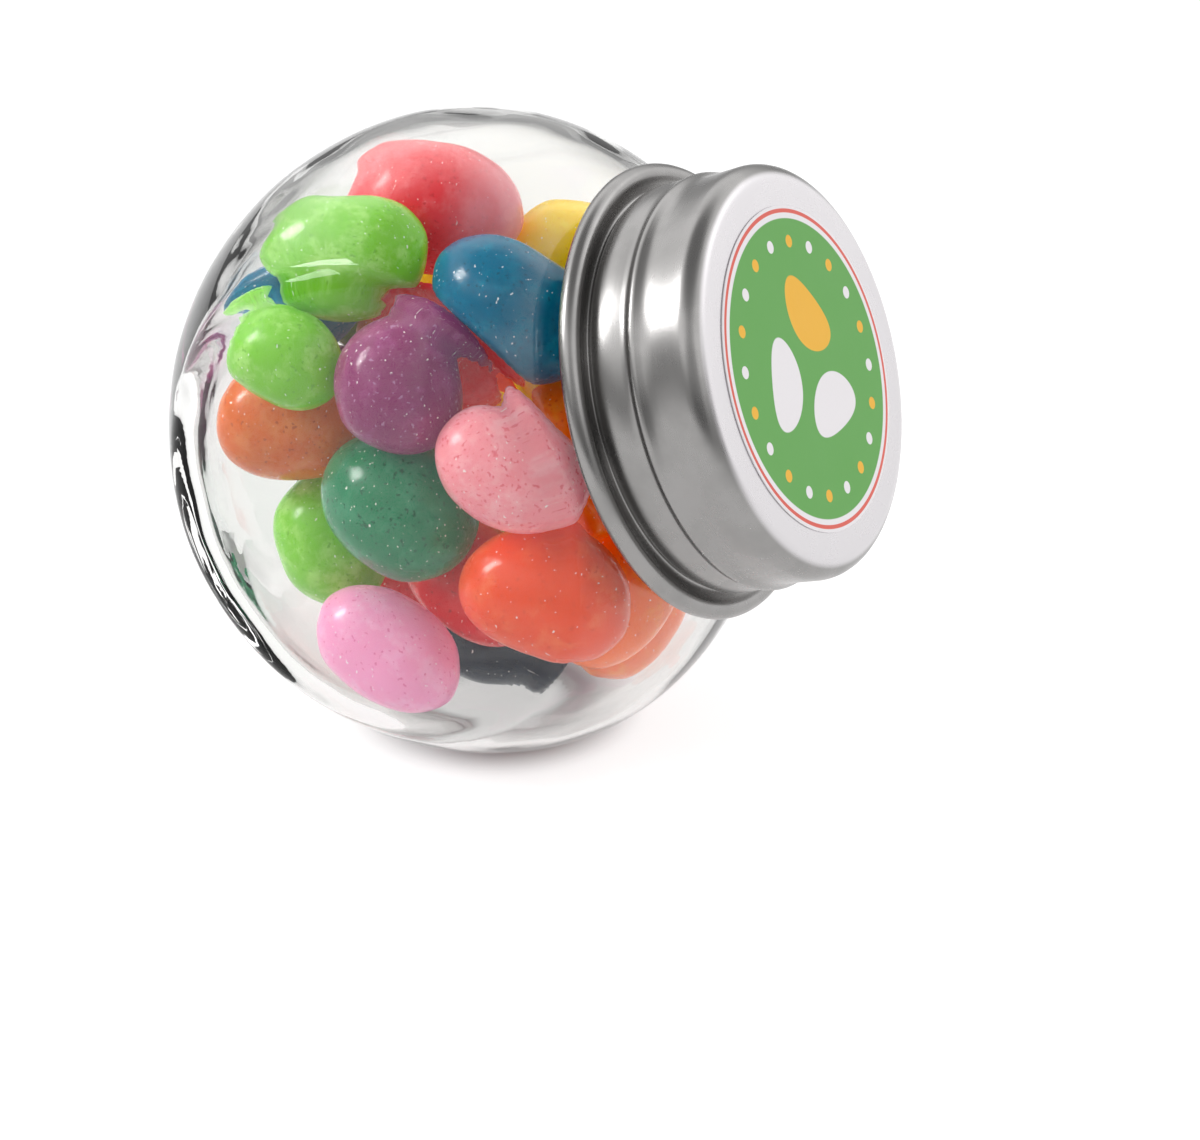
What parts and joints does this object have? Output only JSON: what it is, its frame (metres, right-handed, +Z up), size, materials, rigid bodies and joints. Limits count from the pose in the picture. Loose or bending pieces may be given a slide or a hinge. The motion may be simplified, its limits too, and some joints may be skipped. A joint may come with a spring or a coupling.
{
  "type": "jar of jelly beans",
  "caption": "Small round clear glass sweet jar with two flat side windows and a tilted tinplate screw lid, filled with jelly beans.",
  "frame": {"origin": "middle of the underside of the whole object's box, on the surface that the jar rests on", "axes": "+X is the level direction in which the neck and the lid point, +Y runs square to the flat windows, +Z is up"},
  "size_m": [0.0688, 0.0436, 0.0601],
  "materials": {
    "clear_glass": "clear pressed glass, polished",
    "tinplate": "bright tinplate with a soft sheen",
    "label_paper": "printed paper, satin",
    "jelly_bean_sugar": "waxed sugar shell, semi-gloss, in many colours"
  },
  "bodies": {
    "root": {"glass_jar": "clear_glass", "screw_lid": "tinplate", "lid_label": "label_paper", "jelly_beans": "jelly_bean_sugar"}
  },
  "joints": []
}
